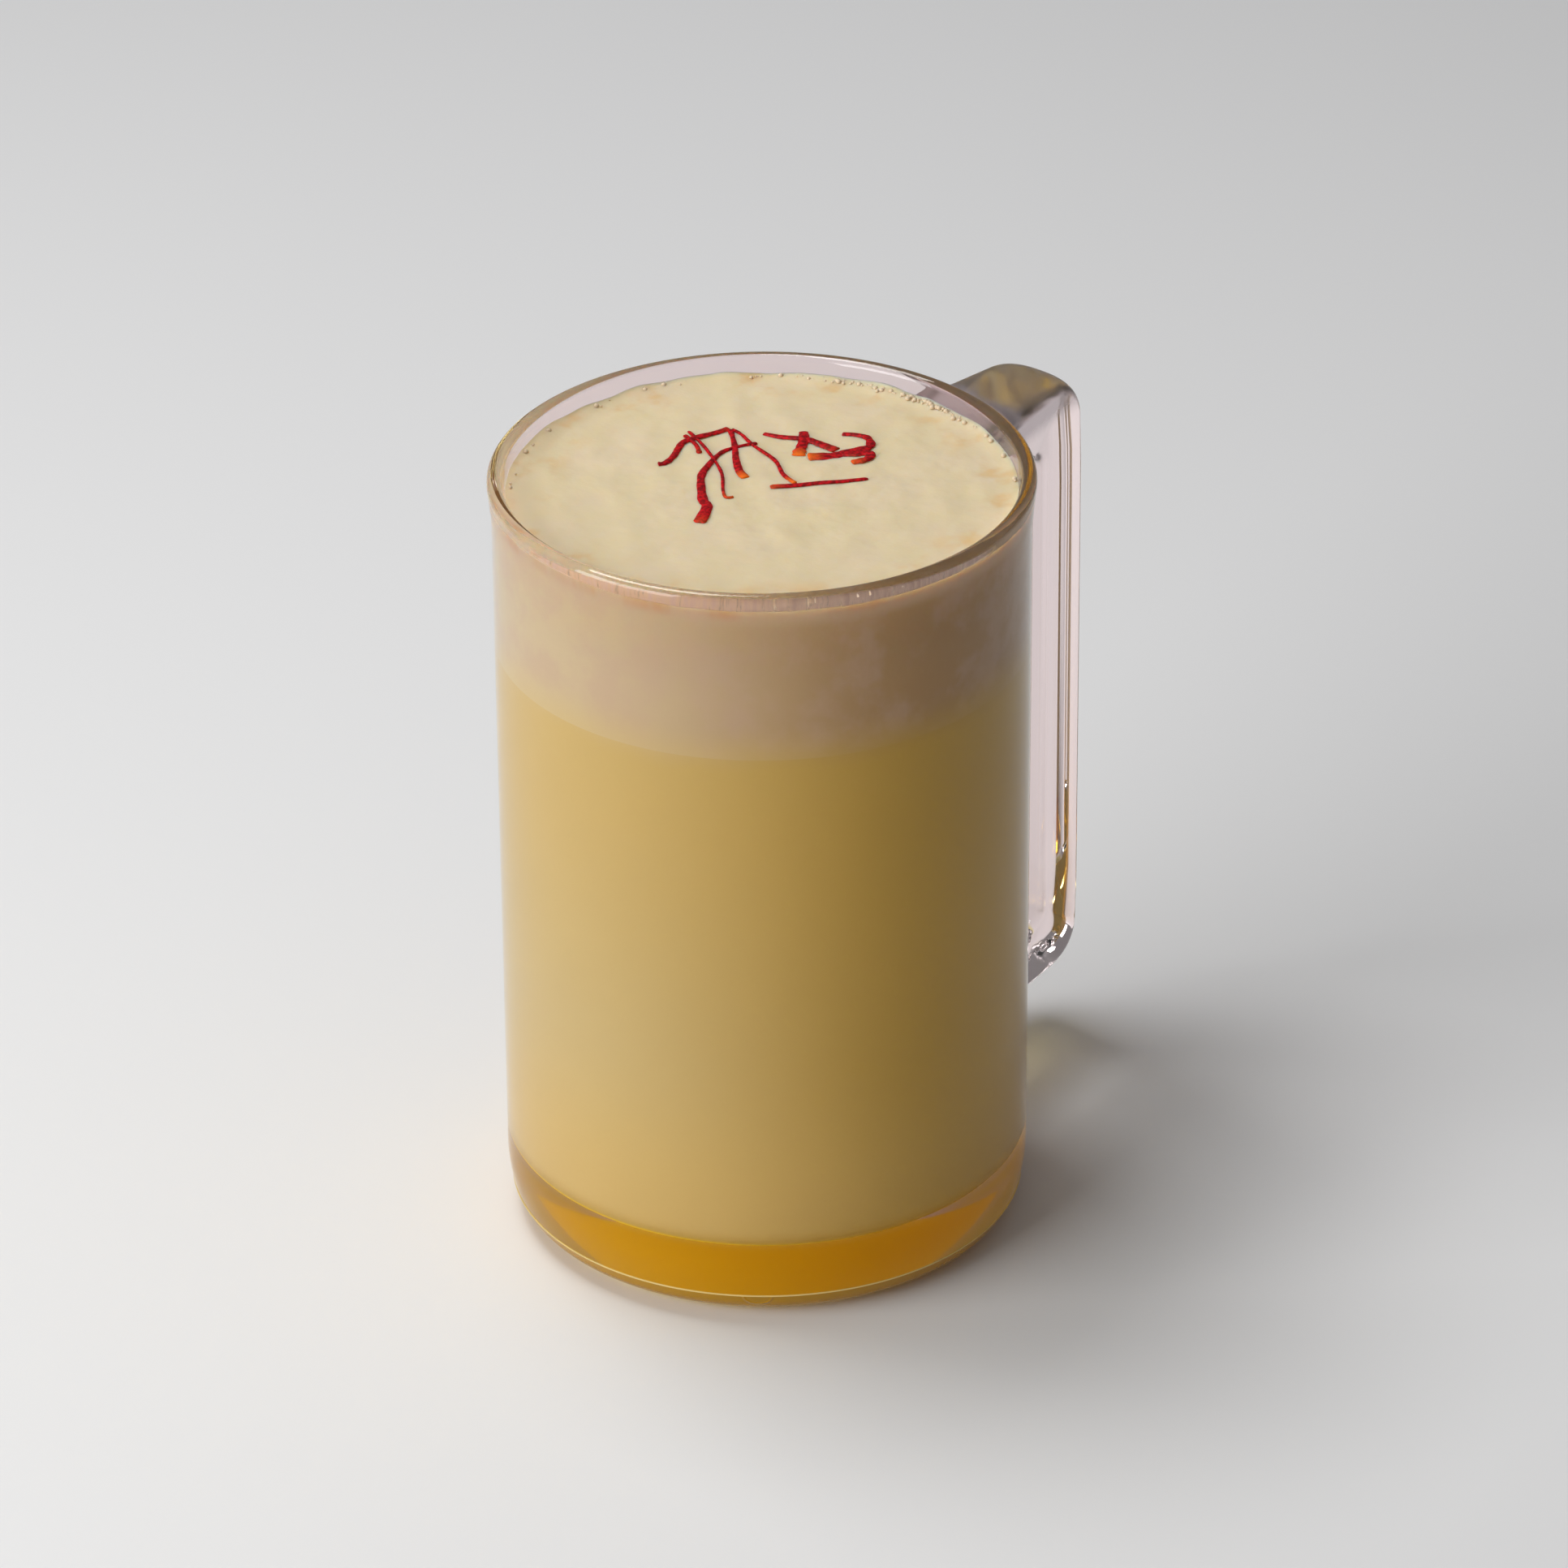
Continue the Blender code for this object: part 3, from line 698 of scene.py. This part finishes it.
def foam_height(s, x, y, edge):
    """Height of the foam's top: its swells, its fine unevenness, and how it climbs the wall at the back."""
    coarse_wave, coarse = 4 * MM, 0.12 * MM
    fine_wave, fine = 1.3 * MM, 0.05 * MM
    uneven = coarse * noise.noise(Vector((x, y, 0.0)) / coarse_wave)
    uneven += fine * noise.noise(Vector((x, y, 3.0 * MM)) / fine_wave)
    radius = hypot(x, y)
    near_wall = max(0.0, (radius / edge - 0.9) / 0.1)
    away = 0.5 - 0.5 * (x * cos(FRONT) + y * sin(FRONT)) / max(radius, MM)
    ragged = noise.noise(Vector((x, y, 9 * MM)) / (5 * MM))
    climb = near_wall ** 2 * (0.6 * away + 0.5 * away * ragged) * MM
    return s.foam_top + swell(s, x, y) + uneven + max(climb, -0.1 * MM)


class MASALACHAI_OT_foam(bpy.types.Operator):
    """Adds the layer of milk foam, with its low swells and its uneven edge on the wall"""

    bl_idname = "masala_chai.foam"
    bl_label = "Milk Foam"

    def execute(self, context):
        s = context.scene.masala_chai
        low = CHAI_HIGH.z + FIT_GAP / 2
        edge = inner_radius(s, s.foam_top) + INTO_WALL
        rings = 90
        side_levels = (106.5 * MM, 105.0 * MM, 96 * MM, low)
        top_from = 107.0 * MM
        profile = [(edge * i / rings, s.foam_top) for i in range(rings + 1)]
        profile += [(inner_radius(s, z) + INTO_WALL, z) for z in side_levels]
        profile += [(edge * 0.5, low), (0.0, low)]
        foam = turned("milk_foam", profile, s.turn_steps)
        for vertex in foam.data.vertices:
            x, y, z = vertex.co
            if z > top_from:
                vertex.co.z = foam_height(s, x, y, edge)
        smooth(foam, 60.0)
        finish_piece(foam, milk_foam(s), "milk_foam", "foam")
        return {"FINISHED"}


class MASALACHAI_OT_milk_film(bpy.types.Operator):
    """Adds the streaky film of milk on the wall, from the foam up towards the rim"""

    bl_idname = "masala_chai.milk_film"
    bl_label = "Milk Film"

    def execute(self, context):
        s = context.scene.masala_chai
        nothing_selected()
        bpy.ops.mesh.primitive_grid_add(x_subdivisions=600, y_subdivisions=6, size=1.0,
                                        location=(0.0, 0.0, 0.0))
        film = context.object
        film.name = "milk_film"
        start, end = FRONT - radians(80), FRONT + radians(88)
        tooth, fleck = 3 * MM, 0.5 * MM
        least, further = 0.5 * MM, 1.35 * MM
        end_fade = 12
        low = s.foam_top - 0.3 * MM
        for vertex in film.data.vertices:
            across, up = vertex.co.x + 0.5, vertex.co.y + 0.5
            angle = start + (end - start) * across
            spot = Vector((cos(angle), sin(angle), 0.0)) * s.outer_radius
            ragged = 0.5 + 0.35 * noise.noise(spot / tooth) + 0.45 * noise.noise(spot / fleck)
            ends = min(1.0, across * end_fade, (1.0 - across) * end_fade)
            top = s.foam_top + least + further * min(max(ragged * 1.4, 0.0), 1.0) * ends
            z = low + (top - low) * up
            radius = inner_radius(s, z) - 0.02 * MM
            vertex.co = (radius * cos(angle), radius * sin(angle), z)
        only(film)
        shell = film.modifiers.new("Shell", "SOLIDIFY")
        shell.thickness = 0.06 * MM
        shell.offset = 0.0
        bpy.ops.object.modifier_apply(modifier=shell.name)
        bpy.ops.object.mode_set(mode="EDIT")
        bpy.ops.mesh.select_all(action="SELECT")
        bpy.ops.mesh.normals_make_consistent(inside=False)
        bpy.ops.object.mode_set(mode="OBJECT")
        smooth(film, 60.0)
        finish_piece(film, milk_film(s), "milk_foam")
        return {"FINISHED"}


class MASALACHAI_OT_bubbles(bpy.types.Operator):
    """Adds the small bubbles along the foam's edge, most of them at the back on the handle's side"""

    bl_idname = "masala_chai.bubbles"
    bl_label = "Bubbles"

    def execute(self, context):
        s = context.scene.masala_chai
        chance = Random(7)
        clustered, scattered = 130, 40
        made = []
        for i in range(clustered + scattered):
            if i < clustered:
                turn = chance.gauss(146, 11)
            else:
                turn = chance.uniform(90, 270)
            width = chance.choice((0.12, 0.16, 0.2, 0.26, 0.36)) * MM
            radius = inner_radius(s, s.foam_top) - width - abs(chance.gauss(0.0, 0.5)) * MM
            angle = FRONT + radians(turn)
            x, y = radius * cos(angle), radius * sin(angle)
            level = s.foam_top + swell(s, x, y) + 0.25 * MM + width * 0.3
            nothing_selected()
            bpy.ops.mesh.primitive_ico_sphere_add(subdivisions=2, radius=width, location=(0.0, 0.0, 0.0))
            bubble = context.object
            for vertex in bubble.data.vertices:
                sag = 0.75 if vertex.co.z < 0.0 else 0.9
                vertex.co = (vertex.co.x + x, vertex.co.y + y, vertex.co.z * sag + level)
            made.append(bubble)
        bubbles = joined("foam_bubbles", made)
        smooth(bubbles, 60.0)
        finish_piece(bubbles, bubble_film(s), "milk_foam")
        return {"FINISHED"}


# Saffron

def spline_point(route, t):
    """A point on the smooth curve through the route, t from 0 to 1."""
    spans = len(route) - 1
    i = min(int(t * spans), spans - 1)
    u = t * spans - i
    p = [Vector(route[min(max(i + k, 0), spans)]) for k in (-1, 0, 1, 2)]
    return 0.5 * (2 * p[1] + (p[2] - p[0]) * u + (2 * p[0] - 5 * p[1] + 4 * p[2] - p[3]) * u ** 2
                  + (3 * p[1] - p[0] - 3 * p[2] + p[3]) * u ** 3)


def thread_rings(s, route, root_width, tip_width, seed):
    """Sections of one thread: a flattened tube that wavers and flares at its tip."""
    steps = 10 * (len(route) - 1)
    sides = 10
    fullness, waver_share, flatness, thickest = 1.2, 0.3, 0.75, 0.5
    rings = []
    for i in range(steps + 1):
        t = i / steps
        here = spline_point(route, t)
        ahead = spline_point(route, min(1.0, t + 0.02)) - spline_point(route, max(0.0, t - 0.02))
        across = Vector((-ahead.y, ahead.x)).normalized()
        waver = noise.noise(Vector((t * steps * 0.25, seed, 0.0)))
        width = root_width + (tip_width - root_width) * t ** 1.5
        width *= fullness * (1.0 + waver_share * waver)
        thick = min(width, thickest) * flatness
        if i == 0 or i == steps:
            width *= 0.7
            thick *= 0.6
        level = s.foam_top + swell(s, here.x * MM, here.y * MM) + thick * 0.3 * MM
        ring = []
        for k in range(sides):
            a = 2 * pi * k / sides
            u, v = cos(a) * width / 2, sin(a) * thick / 2
            spot = here + across * u
            ring.append(Vector((spot.x * MM, spot.y * MM, level + v * MM)))
        rings.append(ring)
    return rings


class MASALACHAI_OT_saffron(bpy.types.Operator):
    """Adds the saffron threads that lie on the foam"""

    bl_idname = "masala_chai.saffron"
    bl_label = "Saffron Threads"

    def execute(self, context):
        s = context.scene.masala_chai
        orange_reach = 2.2 * MM
        made = []
        for seed, (name, (route, root_width, tip_width, orange)) in enumerate(THREADS.items()):
            rings = thread_rings(s, route, root_width, tip_width, seed)
            thread = lofted("saffron_" + name, rings)
            share = thread.data.attributes.new("tip", "FLOAT", "POINT")
            end = Vector(route[-1]) * MM
            for vertex, value in zip(thread.data.vertices, share.data):
                off_tip = (Vector(vertex.co[:2]) - end).length
                value.value = orange * max(0.0, 1.0 - off_tip / orange_reach)
            made.append(thread)
        threads = joined("saffron_threads", made)
        smooth(threads, 60.0)
        finish_piece(threads, dried_saffron(s), "saffron")
        return {"FINISHED"}


# Stage

class MASALACHAI_OT_stage(bpy.types.Operator):
    """Adds the pale floor, the soft lights and the camera"""

    bl_idname = "masala_chai.stage"
    bl_label = "Stage"

    def execute(self, context):
        s = context.scene.masala_chai
        nothing_selected()
        # A hair below the mug, so that the glass keeps air under it as a real foot does
        bpy.ops.mesh.primitive_plane_add(size=8.0, location=(0.0, 0.0, -0.15 * MM))
        floor = context.object
        floor.name = "studio_floor"
        floor.data.materials.append(studio_floor(s))
        # A wide window on the left in front, and a small light over the back: place, width, height and watts
        forward = Vector((cos(VIEW_AZIMUTH), sin(VIEW_AZIMUTH), 0.0))
        right = Vector((sin(VIEW_AZIMUTH), -cos(VIEW_AZIMUTH), 0.0))
        up = Vector((0.0, 0.0, 1.0))
        aim = up * 0.05
        for name, spot, width, height, power in (
                ("window_softbox", right * -0.79 + forward * -0.52 + up * 0.36, 0.8, 0.6, 9.6),
                ("top_softbox", right * -0.22 + forward * 0.16 + up * 0.8, 0.36, 0.36, 3.5)):
            bpy.ops.object.light_add(type="AREA", location=spot)
            lamp = context.object
            lamp.name = name
            lamp.data.shape = "RECTANGLE"
            lamp.data.size = width
            lamp.data.size_y = height
            lamp.data.energy = power
            lamp.rotation_euler = (aim - spot).to_track_quat("-Z", "Y").to_euler()
        world = bpy.data.worlds.new("studio")
        world.use_nodes = True
        world.node_tree.nodes["Background"].inputs["Color"].default_value = linear("#EAEAEC")
        world.node_tree.nodes["Background"].inputs["Strength"].default_value = 0.22
        context.scene.world = world
        bpy.ops.object.camera_add(location=CAMERA_EYE)
        camera = context.object
        camera.name = "photo_camera"
        camera.data.lens = CAMERA_LENS
        camera.data.sensor_width = 36.0
        camera.data.clip_start = 0.05
        camera.data.clip_end = 50.0
        facing = (CAMERA_TARGET - CAMERA_EYE).to_track_quat("-Z", "Y").to_matrix().to_4x4()
        roll = Matrix.Rotation(radians(CAMERA_ROLL), 4, "Z")
        camera.rotation_euler = (facing @ roll).to_euler()
        context.scene.camera = camera
        context.scene.view_settings.view_transform = "Standard"
        # Light turns many times inside the handle and the thick base
        context.scene.cycles.max_bounces = 18
        context.scene.cycles.glossy_bounces = 10
        context.scene.cycles.transmission_bounces = 16
        return {"FINISHED"}


class MASALACHAI_PT_panel(bpy.types.Panel):
    """Lists the pieces and the settings"""

    bl_idname = "MASALACHAI_PT_panel"
    bl_label = "Masala Chai"
    bl_space_type = "VIEW_3D"
    bl_region_type = "UI"
    bl_category = "Masala Chai"

    def draw(self, context):
        layout = self.layout
        for operator in OPERATORS:
            layout.operator(operator.bl_idname)
        for name in MasalaChaiSettings.__annotations__:
            layout.prop(context.scene.masala_chai, name)


OPERATORS = (MASALACHAI_OT_glass_mug, MASALACHAI_OT_tea, MASALACHAI_OT_foam, MASALACHAI_OT_milk_film,
             MASALACHAI_OT_bubbles, MASALACHAI_OT_saffron, MASALACHAI_OT_stage)
CLASSES = (MasalaChaiSettings, *OPERATORS, MASALACHAI_PT_panel)


def register():
    """Adds the settings, operators and panel."""
    for item in CLASSES:
        bpy.utils.register_class(item)
    bpy.types.Scene.masala_chai = PointerProperty(type=MasalaChaiSettings)


def unregister():
    """Takes them away again."""
    del bpy.types.Scene.masala_chai
    for item in reversed(CLASSES):
        bpy.utils.unregister_class(item)


def main():
    register()
    bpy.ops.masala_chai.glass_mug()
    bpy.ops.masala_chai.tea()
    bpy.ops.masala_chai.foam()
    bpy.ops.masala_chai.milk_film()
    bpy.ops.masala_chai.bubbles()
    bpy.ops.masala_chai.saffron()
    bpy.ops.masala_chai.stage()


if __name__ == "__main__":
    main()
